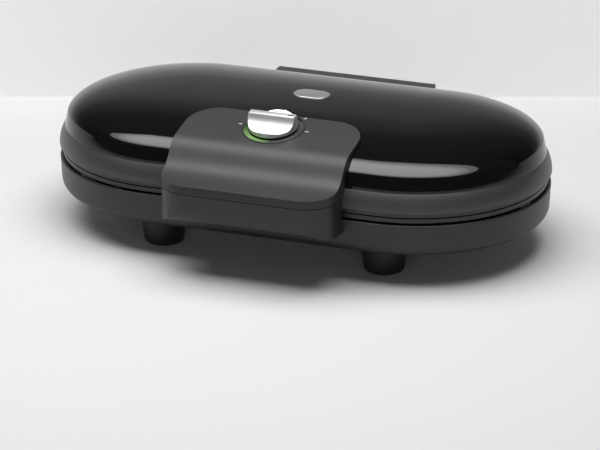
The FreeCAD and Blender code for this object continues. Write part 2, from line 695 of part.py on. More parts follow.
def make_handle_panel():
    shell = cut("panel_shell", handle_solid("panel_outside", 0, d.lip_base_z),
                [handle_solid("panel_inside", SIZES["handle_wall"], d.lip_base_z - 2), envelope, knob_hole])
    posts = [cylinder("panel_post", 3.6, 3.4, (x, y, d.lip_base_z + d.handle_wall))
             for x, y in handle_screw_places]
    bores = [cylinder("panel_bore", 1.45, 5, (x, y, d.lip_base_z - 0.5)) for x, y in handle_screw_places]
    return cut("panel_cut", fuse("panel_with_posts", [shell] + posts), bores)


def make_handle_base():
    """Plate that closes the handle from below, between its lip and the rim."""
    wall = SIZES["handle_wall"] + 0.1
    plan = outline_body("handle_base_plan", wall, d.lip_base_z, d.lip_base_z + d.handle_wall,
                        d.handle_front_y + wall, -90)
    bores = [cylinder("handle_base_bore", 1.7, 5, (x, y, d.lip_base_z - 1)) for x, y in handle_screw_places]
    recesses = [cylinder("handle_base_recess", 2.9, 2.2, (x, y, d.lip_base_z - 1))
                for x, y in handle_screw_places]
    return cut("handle_base_cut", plan, [envelope] + bores + recesses)


def handle_screw(x, y):
    head = cylinder("handle_head", 2.7, 1.0, (x, y, d.lip_base_z + 0.2))
    shank = cylinder("handle_shank", 1.4, 3.2, (x, y, d.lip_base_z + 1.2))
    return fuse("handle_screw", [head, shank])


def make_lid_cover():
    """Gloss dome with posts for the plate screws and for the thermostat bracket."""
    inside = solid_feature("dome_inside", dome_solid(SIZES["cover_wall"]))
    outside = solid_feature("dome_outside", dome_solid(0))
    post_low = d.upper_reflector_z + d.reflector_sheet
    posts = [cylinder("cover_post", d.boss_radius, 24, (x, y, post_low)) for x, y in boss_places]
    pair = [cylinder("bracket_post", 3.5, 6, (side * d.bracket_hole_x, 0, -7.8)) for side in (-1, 1)]
    posts.append(tilt_to_knob(group("bracket_posts", pair)))
    joined = common("posts_in_dome", fuse("cover_posts", posts), outside)
    bores = [cylinder("cover_bore", d.tap_radius, 10, (x, y, post_low - 2)) for x, y in boss_places]
    pair = [cylinder("bracket_bore", 1.45, 5, (side * d.bracket_hole_x, 0, -9)) for side in (-1, 1)]
    bores.append(tilt_to_knob(group("bracket_bores", pair)))
    recess = slot_body("badge_recess", d.badge_half, d.badge_radius + 0.1, d.badge_z, 110)
    place(recess, 0, d.badge_y)
    shell = cut("dome_shell", outside, [inside])
    return cut("lid_cover_cut", fuse("cover_with_posts", [shell, joined]), bores + [recess, board_hole])


sub_part(make_lid_cover(), "lid_cover")
rim_bores = [cylinder("rim_bore", d.tap_radius, 12, (x, 94, d.hinge_z), axis="Y") for x in hinge_screw_places]
rim_bores.append(cylinder("rim_wire_hole", 3.2, 20, (46, 90, d.hinge_z), axis="Y"))
sub_part(cut("lid_rim_cut", solid_feature("rim_ring", rim_solid()), rim_bores), "lid_rim")
sub_part(make_handle_panel(), "handle_panel")
sub_part(make_handle_base(), "handle_base")
sub_part(group("handle_screw_group", [handle_screw(x, y) for x, y in handle_screw_places]), "handle_screws")

badge = slot_body("badge_body", d.badge_half, d.badge_radius, d.badge_z, d.badge_top_z)
badge_top = SIZES["badge_top_z"]
round_edges(badge, 0.5, lambda edge: abs(edge.BoundBox.ZMin - badge_top) < 0.01)
sub_part(place(badge, 0, d.badge_y), "badge")


# ---------------------------------------------------------------- hinge

def make_hinge_housing():
    """Box on the back of the lid that swings between the housing's ears."""
    block = box("hinge_block", (-d.hinge_half, d.hinge_root_y, d.hinge_base_z),
                (d.hinge_half, d.hinge_back_y, d.hinge_lid_z))
    wall = d.hinge_wall
    hollow = box("hinge_hollow", (-50, d.hinge_inner_y, d.hinge_base_z + wall),
                 (50, d.hinge_back_y - wall, 90))
    pin_start = (-100, d.hinge_y, d.hinge_z)
    bores = [cylinder("hinge_bore", d.pin_radius + d.running_gap, 200, pin_start, axis="X"),
             cylinder("hinge_wire_hole", 3.2, 20, (46, d.hinge_root_y, d.hinge_z), axis="Y")]
    bores += [cylinder("hinge_screw_hole", d.pass_radius, 20, (x, d.hinge_root_y, d.hinge_z), axis="Y")
              for x in hinge_screw_places]
    return cut("hinge_housing_cut", block, [envelope, hollow] + bores)


def hinge_screw(x):
    head = cylinder("hinge_head", d.head_radius, d.head_height, (x, d.hinge_inner_y, d.hinge_z), axis="Y")
    shank = cylinder("hinge_shank", d.screw_radius, 8, (x, 96.6, d.hinge_z), axis="Y")
    return fuse("hinge_screw", [head, shank])


def pin_blank(name, side):
    """Headed pin from outside an ear into the end of the hinge housing."""
    inner, outer, head = 52, d.ear_outer_x, 1.8
    low = -outer if side < 0 else size(inner)
    shaft = cylinder(name + "_shaft", d.pin_radius, outer - inner, (low, d.hinge_y, d.hinge_z), axis="X")
    head_low = -outer - head if side < 0 else outer
    cap = cylinder(name + "_cap", 4.6, head, (head_low, d.hinge_y, d.hinge_z), axis="X")
    return fuse(name, [shaft, cap])


sub_part(make_hinge_housing(), "hinge_housing")
hinge_plate = box("hinge_plate", (-d.hinge_half, d.hinge_root_y, d.hinge_lid_z),
                  (d.hinge_half, d.hinge_back_y, d.hinge_top_z))
sub_part(cut("hinge_cover_cut", hinge_plate, [envelope]), "hinge_cover")
sub_part(group("hinge_screw_group", [hinge_screw(x) for x in hinge_screw_places]), "hinge_screws")
sub_part(pin_blank("pin_left", -1), "hinge_pin")
tube_cutters = [cylinder("tube_bore", 2.1, 23, (50, d.hinge_y, d.hinge_z), axis="X"),
                cylinder("tube_side_hole", 2.1, 6, (69.5, d.hinge_y, d.hinge_z - 6))]
sub_part(cut("pin_right_cut", pin_blank("pin_right", 1), tube_cutters), "hinge_wire_tube")


# ---------------------------------------------------------------- knob and dial

def cap_grip():
    """Metal knob: a disc with one straight grip left standing between two scoops."""
    blank = turned_body("cap_blank", [(0, d.knob_skirt_z), (d.knob_radius, d.knob_skirt_z),
                                      (d.knob_radius, d.knob_height), (0, d.knob_height)])
    top = SIZES["knob_height"]
    round_edges(blank, 1.2, lambda edge: abs(edge.BoundBox.ZMin - top) < 0.01)
    scoops = [cylinder("cap_scoop", d.scoop_radius, 60, (-30, side * d.scoop_y, d.scoop_z), axis="X")
              for side in (-1, 1)]
    hollow = cylinder("cap_hollow", 15.6, 1.7, (0, 0, d.knob_skirt_z - 0.2))
    socket = cylinder("cap_socket", 3.6, d.hub_top_z + 0.2 - d.knob_skirt_z, (0, 0, d.knob_skirt_z))
    return cut("cap_cut", blank, scoops + [hollow, socket])


def make_knob_core():
    """Plastic hub inside the cap, gripping the spindle."""
    disc = cylinder("core_disc", 15.4, 3.8, (0, 0, -0.9))
    hub = cylinder("core_hub", 3.5, d.hub_top_z + 0.9, (0, 0, -0.9))
    bore = cylinder("core_bore", d.spindle_radius, d.spindle_top_z + 1.1, (0, 0, -1))
    return cut("core_cut", fuse("core_blank", [disc, hub]), [bore])


def dial_mark(angle):
    """Short radial line printed on the panel beside the dial."""
    obj = box("dial_mark", (24.6, -0.35, 0), (27.2, 0.35, 0.12))
    turn = Rotation(Vector(0, 0, 1), angle)
    obj.Placement = Placement(Vector(), turn)
    corner = turn.multVec(Vector(24.6, -0.35, 0))
    return place(obj, corner.x, corner.y, 0)


def ring_sector(name, inner, outer, low, high, start, sweep):
    """Arc-shaped piece of a ring about the knob's axis."""
    pair = []
    for radius, drop in ((outer, 0), (inner, 1)):
        obj = doc.addObject("Part::Cylinder", name + "_round")
        bind(obj, Radius=radius, Height=high - size(low) + 2 * drop, Angle=sweep + 2 * drop)
        obj.Placement = Placement(Vector(), Rotation(Vector(0, 0, 1), start - drop))
        pair.append(place(obj, 0, 0, low - size(drop)))
    return cut(name, pair[0], [pair[1]])


def make_bezel():
    """Dark dish that the knob turns in; its floor is open where the lamps shine through."""
    dish = turned_body("bezel_dish", [(4, -2.4), (d.bezel_radius, -2.4), (d.bezel_radius, 0.4),
                                      (d.lens_outer + 0.1, 0.4), (d.lens_outer + 0.1, -1.4), (4, -1.4)])
    windows = [ring_sector("bezel_window", 19.3, 21.5, -3, 0, start, 30) for start in (225, 285)]
    return cut("bezel_cut", dish, windows)


sub_part(tilt_to_knob(cap_grip()), "knob_cap")
sub_part(tilt_to_knob(make_knob_core()), "knob_core")
sub_part(on_knob_axis("spindle_rod", d.spindle_radius - 0.02, -13.4, d.spindle_top_z), "knob_spindle")
pointer = box("pointer_bar", (12.6, -0.5, d.knob_height), (16.6, 0.5, d.knob_height + 0.3))
sub_part(tilt_to_knob(group("pointer_group", [pointer])), "knob_pointer")
sub_part(tilt_to_knob(make_bezel()), "dial_bezel")
power_lens = ring_sector("power_lens_ring", d.lens_inner, d.lens_outer, -1.4, 0.2, 165, 115.4)
sub_part(tilt_to_knob(power_lens), "power_light_lens")
heat_lens = ring_sector("heat_lens_ring", d.lens_inner, d.lens_outer, -1.4, 0.2, 281.6, 115.4)
sub_part(tilt_to_knob(heat_lens), "heat_light_lens")
marks = group("mark_group", [dial_mark(angle) for angle in (0, 45, 90, 135, 180)])
sub_part(tilt_to_knob(marks), "dial_marks")


# ---------------------------------------------------------------- controls inside the lid

def make_thermostat():
    """Round thermostat whose socket takes the knob's spindle."""
    can = cylinder("thermostat_can", 11, 9, (0, 0, -17.6))
    bush = cylinder("thermostat_bush", 5, 2.2, (0, 0, -8.6))
    bore = cylinder("thermostat_bore", d.spindle_radius + d.running_gap - 0.02, 8, (0, 0, -14))
    return cut("thermostat_cut", fuse("thermostat_blank", [can, bush]), [bore])


def make_bracket():
    """Strip that hangs the thermostat under the cover."""
    strip = box("bracket_strip", (-32, -7, -8.6), (32, 7, -7.8))
    holes = [cylinder("bracket_hole", 1.7, 4, (side * d.bracket_hole_x, 0, -10)) for side in (-1, 1)]
    centre = cylinder("bracket_centre", 5.1, 4, (0, 0, -10))
    return cut("bracket_cut", strip, holes + [centre])


def bracket_screw(x):
    head = cylinder("bracket_head", 2.7, 1.2, (x, 0, -9.8))
    shank = cylinder("bracket_shank", 1.4, 4.4, (x, 0, -8.6))
    return fuse("bracket_screw", [head, shank])


def make_lamp_board():
    board = cylinder("board_disc", 22.0, 1.0, (0, 0, -5.2))
    opening = cylinder("board_opening", 6, 3, (0, 0, -6))
    return cut("board_cut", board, [opening])


def lamp(name, angle):
    """Small round lamp under its lens."""
    spot = Rotation(Vector(0, 0, 1), angle).multVec(Vector(20.4, 0, 0))
    return tilt_to_knob(group(name, [cylinder(name + "_can", 1.0, 1.6, (spot.x, spot.y, -4.2))]))


def wire_run(name, points, radius, turn):
    """Round wire along straight runs joined by tangent arcs."""
    corners = [Vector(*point) for point in points]
    edges, start = [], corners[0]
    for before, corner, after in zip(corners, corners[1:], corners[2:]):
        back, ahead = (before - corner).normalize(), (after - corner).normalize()
        half_angle = back.getAngle(ahead) / 2
        reach = turn / math.tan(half_angle)
        centre = corner + (back + ahead).normalize() * (turn / math.sin(half_angle))
        first, last = corner + back * reach, corner + ahead * reach
        middle = centre + (corner - centre).normalize() * turn
        edges.append(Part.makeLine(start, first))
        edges.append(Part.Arc(first, middle, last).toShape())
        start = last
    edges.append(Part.makeLine(start, corners[-1]))
    profile = Part.Wire(Part.makeCircle(radius, corners[0], corners[1] - corners[0]))
    return solid_feature(name, Part.Wire(edges).makePipeShell([profile], True, False))


sub_part(tilt_to_knob(make_thermostat()), "thermostat")
sub_part(tilt_to_knob(make_bracket()), "thermostat_bracket")
bracket_screws = group("bracket_screws", [bracket_screw(side * d.bracket_hole_x) for side in (-1, 1)])
sub_part(tilt_to_knob(bracket_screws), "thermostat_screws")
sub_part(tilt_to_knob(make_lamp_board()), "lamp_board")
sub_part(lamp("power_lamp_group", 240), "power_lamp")
sub_part(lamp("heat_lamp_group", 300), "heat_lamp")
sub_part(cylinder("fuse_sleeve", 3.0, 24, (-62, -18, 82), axis="X"), "thermal_fuse")

lid_route = [(60, 112, 68), (46, 112, 68), (46, 91.4, 68), (46, 91.4, 81.4),
             (46, -61, 82.5), (11.8, -61, 84.5)]
sub_part(wire_run("lid_wire_run", lid_route, 1.6, 3.2), "lid_wires")


# ---------------------------------------------------------------- supply inside the base

def make_gland():
    """Flanged bush through the back wall, where a supply cord would enter."""
    x, z, bush = d.gland_x, d.gland_z, d.gland_radius
    inner_y = d.rear_y - d.housing_wall - 2
    barrel = cylinder("gland_barrel", bush, d.gland_end_y - inner_y, (x, inner_y, z), axis="Y")
    collar = cylinder("gland_collar", d.gland_collar, 3, (x, d.rear_y, z), axis="Y")
    bore = cylinder("gland_bore", d.gland_bore, 40, (x, inner_y - 10, z), axis="Y")
    return cut("gland_cut", fuse("gland_blank", [barrel, collar]), [bore])


sub_part(make_gland(), "cord_gland")
block_floor = d.base_z + d.housing_wall
sub_part(box("terminal_body", (-18, 105, block_floor), (22, 118, 41)), "terminal_block")
terminal_screws = [cylinder("terminal_screw", 1.7, 1.2, (x, y, 41)) for x in (-11, 2, 15) for y in (108, 115)]
sub_part(group("terminal_screw_group", terminal_screws), "terminal_screws")
base_route = [(22, 112, 36), (69.5, 112, 36), (69.5, 112, 65.5)]
sub_part(wire_run("base_wire_run", base_route, 1.6, 5), "base_wires")


# ---------------------------------------------------------------- check and write

doc.recompute()
for obj in doc.Objects:
    if "Invalid" in obj.State or "Error" in obj.State:
        raise RuntimeError("%s failed" % obj.Name)

os.makedirs("parts", exist_ok=True)
for obj in sub_parts:
    shape = obj.Shape
    if shape.isNull() or not shape.isValid() or not shape.Solids:
        raise RuntimeError("%s has no valid solid" % obj.Label)
    shape.exportStep(os.path.join("parts", obj.Label + ".step"))
print("%d sub-parts written" % len(sub_parts))
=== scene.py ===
import json
import math

import bmesh
import bpy
from mathutils import Matrix, Vector


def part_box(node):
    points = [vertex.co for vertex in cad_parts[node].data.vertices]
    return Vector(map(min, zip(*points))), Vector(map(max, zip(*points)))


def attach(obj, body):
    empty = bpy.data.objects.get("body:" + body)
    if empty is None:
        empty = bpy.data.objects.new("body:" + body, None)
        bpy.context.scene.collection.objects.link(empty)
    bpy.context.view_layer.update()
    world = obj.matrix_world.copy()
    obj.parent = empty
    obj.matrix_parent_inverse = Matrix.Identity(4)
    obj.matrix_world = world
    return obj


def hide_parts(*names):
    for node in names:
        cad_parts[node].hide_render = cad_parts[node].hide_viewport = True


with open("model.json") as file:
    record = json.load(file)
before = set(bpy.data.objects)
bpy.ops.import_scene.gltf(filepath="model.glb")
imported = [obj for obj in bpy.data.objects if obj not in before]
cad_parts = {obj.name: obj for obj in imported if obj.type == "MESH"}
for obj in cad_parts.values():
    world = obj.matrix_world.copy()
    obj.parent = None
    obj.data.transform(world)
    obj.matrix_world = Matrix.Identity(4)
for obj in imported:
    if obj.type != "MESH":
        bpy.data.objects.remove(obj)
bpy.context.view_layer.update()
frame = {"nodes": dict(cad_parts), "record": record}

nodes = frame["nodes"]
body_of_node = {node: body for body, members in frame["record"]["behaviour"]["bodies"].items()
                for node in members}
slot_of_node = {part["node"]: part["material_slot"] for part in frame["record"]["subparts"]}

# ------------------------------------------------------------------ sizes read from the frame

MM = 0.001
rim_low, rim_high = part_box("lid_rim")
cover_low, cover_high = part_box("lid_cover")
END_RADIUS = rim_high[1]
HALF_STRAIGHT = rim_high[0] - rim_high[1]
RIM_FOOT_Z = rim_low[2]
SEAM_Z = cover_low[2]
CROWN_Z = cover_high[2]
DOME_RADIUS = cover_high[1]
COVER_WALL = 2.2 * MM
RIM_WALL = 2.4 * MM
ARC_STEPS = 56
STRAIGHT_STEPS = 10
DOME_STEPS = 72
DOME_INSIDE_STEPS = 24
FOOT_STEPS = 10
FOOT_JOIN = 13
FOOT_RISE = 0.6 * MM
FOOT_LEAN = (-0.2, 1.0)
LIP_RISE = 0.05 * MM
LIP_RADIUS = 0.45 * MM
RIM_SIDE_STEPS = 16
RIM_FOOT_RADIUS = 0.5 * MM
RIM_TOP_RADIUS = 0.35 * MM
FLANGE_RISE = 5 * MM
FLANGE_REACH = 10 * MM
FLANGE_TOP = 2 * MM
FLANGE_UNDERSIDE = 0.1 * MM
CREASE_ANGLE = 32.0
FLAT_ANGLE = 0.4
MERGE_DISTANCE = 2e-6
EDGE_SEGMENTS = 2
SCREW_HEAD_SIDES = 28
SCREW_SHANK_SIDES = 20
RECESS_LENGTH_SHARE = 1.15
RECESS_WIDTH_SHARE = 0.24
SHANK_SHARE = 0.5
LENS_GLOW_NEAR = 4 * MM
LENS_GLOW_FAR = 19 * MM


# ------------------------------------------------------------------ shader node groups

def new_group(name, inputs, output):
    """Shader node group with float inputs and one float output."""
    group = bpy.data.node_groups.new(name, "ShaderNodeTree")
    for label, default in inputs:
        socket = group.interface.new_socket(name=label, in_out="INPUT",
                                            socket_type="NodeSocketFloat")
        socket.default_value = default
    group.interface.new_socket(name=output, in_out="OUTPUT", socket_type="NodeSocketFloat")
    return group, group.nodes.new("NodeGroupInput"), group.nodes.new("NodeGroupOutput")


def build_moulded_grain():
    """Spark-eroded grain of moulded plastic: two sizes of fine noise added together."""
    inputs = [("Scale", 1500.0), ("Coarse Share", 0.35)]
    group, inside, outside = new_group("moulded_grain", inputs, "Height")
    place = group.nodes.new("ShaderNodeTexCoord")
    fine = group.nodes.new("ShaderNodeTexNoise")
    coarse = group.nodes.new("ShaderNodeTexNoise")
    coarser = group.nodes.new("ShaderNodeMath")
    coarser.operation = "MULTIPLY"
    coarser.inputs[1].default_value = 0.3
    mix = group.nodes.new("ShaderNodeMix")
    link = group.links.new
    link(place.outputs["Object"], fine.inputs["Vector"])
    link(place.outputs["Object"], coarse.inputs["Vector"])
    link(inside.outputs["Scale"], fine.inputs["Scale"])
    link(inside.outputs["Scale"], coarser.inputs[0])
    link(coarser.outputs[0], coarse.inputs["Scale"])
    link(inside.outputs["Coarse Share"], mix.inputs["Factor"])
    link(fine.outputs["Fac"], mix.inputs["A"])
    link(coarse.outputs["Fac"], mix.inputs["B"])
    link(mix.outputs["Result"], outside.inputs["Height"])
    return group


def build_handled_finish():
    """Roughness that drifts a little over a surface, as handling and wiping leave it."""
    inputs = [("Roughness", 0.4), ("Drift", 0.05), ("Patch Scale", 25.0)]
    group, inside, outside = new_group("handled_finish", inputs, "Roughness")
    place = group.nodes.new("ShaderNodeTexCoord")
    patches = group.nodes.new("ShaderNodeTexNoise")
    patches.inputs["Detail"].default_value = 4.0
    centred = group.nodes.new("ShaderNodeMath")
    centred.operation = "SUBTRACT"
    centred.inputs[1].default_value = 0.5
    scaled = group.nodes.new("ShaderNodeMath")
    scaled.operation = "MULTIPLY"
    total = group.nodes.new("ShaderNodeMath")
    total.operation = "ADD"
    total.use_clamp = True
    link = group.links.new
    link(place.outputs["Object"], patches.inputs["Vector"])
    link(inside.outputs["Patch Scale"], patches.inputs["Scale"])
    link(patches.outputs["Fac"], centred.inputs[0])
    link(centred.outputs[0], scaled.inputs[0])
    link(inside.outputs["Drift"], scaled.inputs[1])
    link(scaled.outputs[0], total.inputs[0])
    link(inside.outputs["Roughness"], total.inputs[1])
    link(total.outputs[0], outside.inputs["Roughness"])
    return group


def build_brushing():
    """Fine parallel scratches that run along X."""
    group, inside, outside = new_group("brushing", [("Scale", 900.0), ("Stretch", 0.03)], "Height")
    place = group.nodes.new("ShaderNodeTexCoord")
    squeeze = group.nodes.new("ShaderNodeCombineXYZ")
    squeeze.inputs["Y"].default_value = 1.0
    squeeze.inputs["Z"].default_value = 1.0
    stretched = group.nodes.new("ShaderNodeVectorMath")
    stretched.operation = "MULTIPLY"
    scratches = group.nodes.new("ShaderNodeTexNoise")
    scratches.inputs["Detail"].default_value = 3.0
    link = group.links.new
    link(inside.outputs["Stretch"], squeeze.inputs["X"])
    link(place.outputs["Object"], stretched.inputs[0])
    link(squeeze.outputs[0], stretched.inputs[1])
    link(stretched.outputs[0], scratches.inputs["Vector"])
    link(inside.outputs["Scale"], scratches.inputs["Scale"])
    link(scratches.outputs["Fac"], outside.inputs["Height"])
    return group


moulded_grain = build_moulded_grain()
handled_finish = build_handled_finish()
brushing = build_brushing()


# ------------------------------------------------------------------ materials

def new_material(name, colour, roughness, metallic=0.0, drift=0.04, patch=25.0, **sockets):
    """Principled material whose roughness drifts; other sockets are set directly."""
    material = bpy.data.materials.new(name)
    material.use_nodes = True
    tree = material.node_tree
    shader = tree.nodes["Principled BSDF"]
    shader.inputs["Base Color"].default_value = (*colour, 1.0)
    shader.inputs["Metallic"].default_value = metallic
    for label, value in sockets.items():
        shader.inputs[label.replace("_", " ")].default_value = value
    finish = tree.nodes.new("ShaderNodeGroup")
    finish.node_tree = handled_finish
    finish.inputs["Roughness"].default_value = roughness
    finish.inputs["Drift"].default_value = drift
    finish.inputs["Patch Scale"].default_value = patch
    tree.links.new(finish.outputs["Roughness"], shader.inputs["Roughness"])
    return material, tree, shader


def add_relief(tree, shader, group, strength, depth, **values):
    """Bump from one of the shared height groups."""
    height = tree.nodes.new("ShaderNodeGroup")
    height.node_tree = group
    for label, value in values.items():
        height.inputs[label.replace("_", " ")].default_value = value
    bump = tree.nodes.new("ShaderNodeBump")
    bump.inputs["Strength"].default_value = strength
    bump.inputs["Distance"].default_value = depth
    tree.links.new(height.outputs[0], bump.inputs["Height"])
    tree.links.new(bump.outputs["Normal"], shader.inputs["Normal"])


def tint_by_noise(tree, shader, dark, light, scale):
    """Base colour that moves between two close shades."""
    place = tree.nodes.new("ShaderNodeTexCoord")
    noise = tree.nodes.new("ShaderNodeTexNoise")
    noise.inputs["Scale"].default_value = scale
    noise.inputs["Detail"].default_value = 5.0
    ramp = tree.nodes.new("ShaderNodeValToRGB")
    ramp.color_ramp.elements[0].color = (*dark, 1.0)
    ramp.color_ramp.elements[1].color = (*light, 1.0)
    tree.links.new(place.outputs["Object"], noise.inputs["Vector"])
    tree.links.new(noise.outputs["Fac"], ramp.inputs["Fac"])
    tree.links.new(ramp.outputs["Color"], shader.inputs["Base Color"])


def grained_plastic(name, grey, roughness, grain, strength):
    """Moulded plastic of one grey with a fine grain."""
    material, tree, shader = new_material(name, (grey, grey, grey * 1.02), roughness)
    tint_by_noise(tree, shader, (grey * 0.9,) * 3, (grey * 1.1,) * 3, 60.0)
    add_relief(tree, shader, moulded_grain, strength, 0.05 * MM, Scale=grain)
    return material


def lacquer():
    """Deep black gloss: a dark body under a hard, faintly uneven clear skin."""
    colour = (0.003, 0.003, 0.0032)
    material, tree, shader = new_material("black_lacquer", colour, 0.06, drift=0.02, patch=12.0)
    add_relief(tree, shader, moulded_grain, 0.02, 0.02 * MM, Scale=260.0)
    return material


def brushed_metal(name, colour, roughness, scale=900.0, strength=0.1):
    """Metal with fine scratches that run along X."""
    material, tree, shader = new_material(name, colour, roughness, metallic=1.0, drift=0.06)
    add_relief(tree, shader, brushing, strength, 0.03 * MM, Scale=scale)
    return material


def pressed_metal(name, grey, roughness):
    """Sheet or drawn metal with uneven shades of one grey."""
    material, tree, shader = new_material(name, (grey, grey, grey), roughness, metallic=1.0, drift=0.1)
    tint_by_noise(tree, shader, (grey * 0.85,) * 3, (grey,) * 3, 40.0)
    add_relief(tree, shader, moulded_grain, 0.08, 0.05 * MM, Scale=500.0)
    return material


def nonstick_coating():
    """Dark sprayed coating with fine pale flecks."""
    colour = (0.02, 0.02, 0.02)
    material, tree, shader = new_material("nonstick_coating", colour, 0.34, drift=0.08, patch=40.0)
    place = tree.nodes.new("ShaderNodeTexCoord")
    flecks = tree.nodes.new("ShaderNodeTexVoronoi")
    flecks.inputs["Scale"].default_value = 420.0
    ramp = tree.nodes.new("ShaderNodeValToRGB")
    ramp.color_ramp.elements[0].position = 0.04
    ramp.color_ramp.elements[0].color = (0.11, 0.11, 0.11, 1.0)
    ramp.color_ramp.elements[1].position = 0.13
    ramp.color_ramp.elements[1].color = (0.018, 0.018, 0.019, 1.0)
    tree.links.new(place.outputs["Object"], flecks.inputs["Vector"])
    tree.links.new(flecks.outputs["Distance"], ramp.inputs["Fac"])
    tree.links.new(ramp.outputs["Color"], shader.inputs["Base Color"])
    add_relief(tree, shader, moulded_grain, 0.15, 0.05 * MM, Scale=900.0)
    return material


def lens_plastic(name, colour, glow, strength, lamp):
    """Tinted ring lens, brightest over the lamp behind it."""
    material, tree, shader = new_material(name, colour, 0.25, drift=0.04, Emission_Strength=strength)
    tint_by_noise(tree, shader, tuple(0.85 * c for c in colour), colour, 200.0)
    place = tree.nodes.new("ShaderNodeTexCoord")
    reach = tree.nodes.new("ShaderNodeVectorMath")
    reach.operation = "DISTANCE"
    reach.inputs[1].default_value = lamp
    spread = tree.nodes.new("ShaderNodeMapRange")
    spread.inputs["From Min"].default_value = LENS_GLOW_NEAR
    spread.inputs["From Max"].default_value = LENS_GLOW_FAR
    fade = tree.nodes.new("ShaderNodeValToRGB")
    fade.color_ramp.elements[0].color = (*glow, 1.0)
    fade.color_ramp.elements[1].color = (0.0, 0.0, 0.0, 1.0)
    tree.links.new(place.outputs["Object"], reach.inputs[0])
    tree.links.new(reach.outputs["Value"], spread.inputs["Value"])
    tree.links.new(spread.outputs["Result"], fade.inputs["Fac"])
    tree.links.new(fade.outputs["Color"], shader.inputs["Emission Color"])
    return material


def woven_sheath(name, colour):
    """Braided glass fibre: two crossed sets of fine ribs."""
    material, tree, shader = new_material(name, colour, 0.75, drift=0.1)
    tint_by_noise(tree, shader, tuple(0.75 * c for c in colour), colour, 300.0)
    place = tree.nodes.new("ShaderNodeTexCoord")
    ribs = tree.nodes.new("ShaderNodeTexWave")
    ribs.bands_direction = "DIAGONAL"
    ribs.inputs["Scale"].default_value = 260.0
    bump = tree.nodes.new("ShaderNodeBump")
    bump.inputs["Strength"].default_value = 0.5
    bump.inputs["Distance"].default_value = 0.2 * MM
    tree.links.new(place.outputs["Object"], ribs.inputs["Vector"])
    tree.links.new(ribs.outputs["Fac"], bump.inputs["Height"])
    tree.links.new(bump.outputs["Normal"], shader.inputs["Normal"])
    return material


def middle(node):
    """Centre of a CAD node's box."""
    low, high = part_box(node)
    return tuple((a + b) / 2 for a, b in zip(low, high))


finishes = {
    "gloss_black": lacquer(),
    "rim_plastic": grained_plastic("satin_rim", 0.045, 0.38, 1600.0, 0.1),
    "matte_panel": grained_plastic("satin_panel", 0.012, 0.5, 1500.0, 0.12),
    "dark_plastic": grained_plastic("moulded_housing", 0.013, 0.42, 1300.0, 0.2),
    "black_plastic": grained_plastic("black_recess", 0.008, 0.5, 1200.0, 0.15),
    "foot_plastic": grained_plastic("foot_moulding", 0.008, 0.5, 1100.0, 0.15),
    "foot_rubber": grained_plastic("foot_rubber", 0.014, 0.8, 900.0, 0.3),
    "badge_metal": brushed_metal("badge_metal", (0.58, 0.58, 0.59), 0.36),
    "satin_metal": brushed_metal("knob_metal", (0.72, 0.72, 0.73), 0.42, 1200.0, 0.08),
    "white_print": grained_plastic("dial_print", 0.72, 0.6, 800.0, 0.05),
    "steel": pressed_metal("zinc_plate", 0.62, 0.32),
    "sheet_steel": pressed_metal("reflector_sheet", 0.75, 0.22),
    "nonstick": nonstick_coating(),
    "green_lens": lens_plastic("green_lens", (0.03, 0.06, 0.02), (0.34, 0.62, 0.2), 0.6,
                               middle("power_lamp")),
    "clear_lens": lens_plastic("clear_lens", (0.07, 0.07, 0.07), (1.0, 1.0, 1.0), 0.0,
                               middle("heat_lamp")),
    "lamp_glass": lens_plastic("lamp_glass", (0.85, 0.85, 0.8), (0.6, 1.0, 0.5), 0.5,
                               middle("power_lamp")),
    "board": grained_plastic("lamp_board_resin", 0.12, 0.5, 500.0, 0.1),
    "sleeve": woven_sheath("fuse_sleeve", (0.78, 0.76, 0.68)),
    "wire_sheath": woven_sheath("wire_sheath", (0.7, 0.66, 0.55)),
    "terminal": grained_plastic("terminal_moulding", 0.6, 0.5, 700.0, 0.1),
}


# ------------------------------------------------------------------ mesh building

def finish_piece(mesh, name, node_names, body, slot):
    """Makes the object, hands it to the body and stands it in for its CAD nodes."""
    piece = bpy.data.objects.new(name, mesh)
    bpy.context.scene.collection.objects.link(piece)
    mesh.materials.clear()
    mesh.materials.append(finishes[slot])
    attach(piece, body)
    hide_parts(*node_names)
    return piece


def smooth_by_angle(mesh):
    """Smooth shading with a hard line wherever two faces meet at more than the crease angle."""
    mesh.shade_smooth()
    mesh.set_sharp_from_angle(angle=math.radians(CREASE_ANGLE))


def stadium_stations():
    """Centre and outward direction of each rib of a stadium, once round."""
    stations = []
    for side in (1, -1):
        start = -90.0 if side > 0 else 90.0
        for step in range(ARC_STEPS):
            angle = math.radians(start + 180.0 * step / ARC_STEPS)
            stations.append((side * HALF_STRAIGHT, angle))
        for step in range(STRAIGHT_STEPS):
            x = side * HALF_STRAIGHT * (1 - 2 * step / STRAIGHT_STEPS)
            stations.append((x, math.radians(side * 90.0)))
    return stations


def sweep_stadium(name, profile, closed):
    """Takes a (radius, height) profile round the stadium; an open one starts and ends on its spine."""
    stations = stadium_stations()
    shape = bmesh.new()
    ribs = []
    for x, angle in stations:
        across, along = math.sin(angle), math.cos(angle)
        ribs.append([shape.verts.new((x + radius * along, radius * across, height))
                     for radius, height in profile])
    count = len(profile)
    spans = count if closed else count - 1
    for rib, following in zip(ribs, ribs[1:] + ribs[:1]):
        for i in range(spans):
            j = (i + 1) % count
            shape.faces.new((rib[i], following[i], following[j], rib[j]))
    bmesh.ops.remove_doubles(shape, verts=shape.verts, dist=1e-6)
    bmesh.ops.dissolve_degenerate(shape, edges=shape.edges, dist=1e-7)
    bmesh.ops.recalc_face_normals(shape, faces=shape.faces)
    mesh = bpy.data.meshes.new(name)
    shape.to_mesh(mesh)
    shape.free()
    smooth_by_angle(mesh)
    return mesh


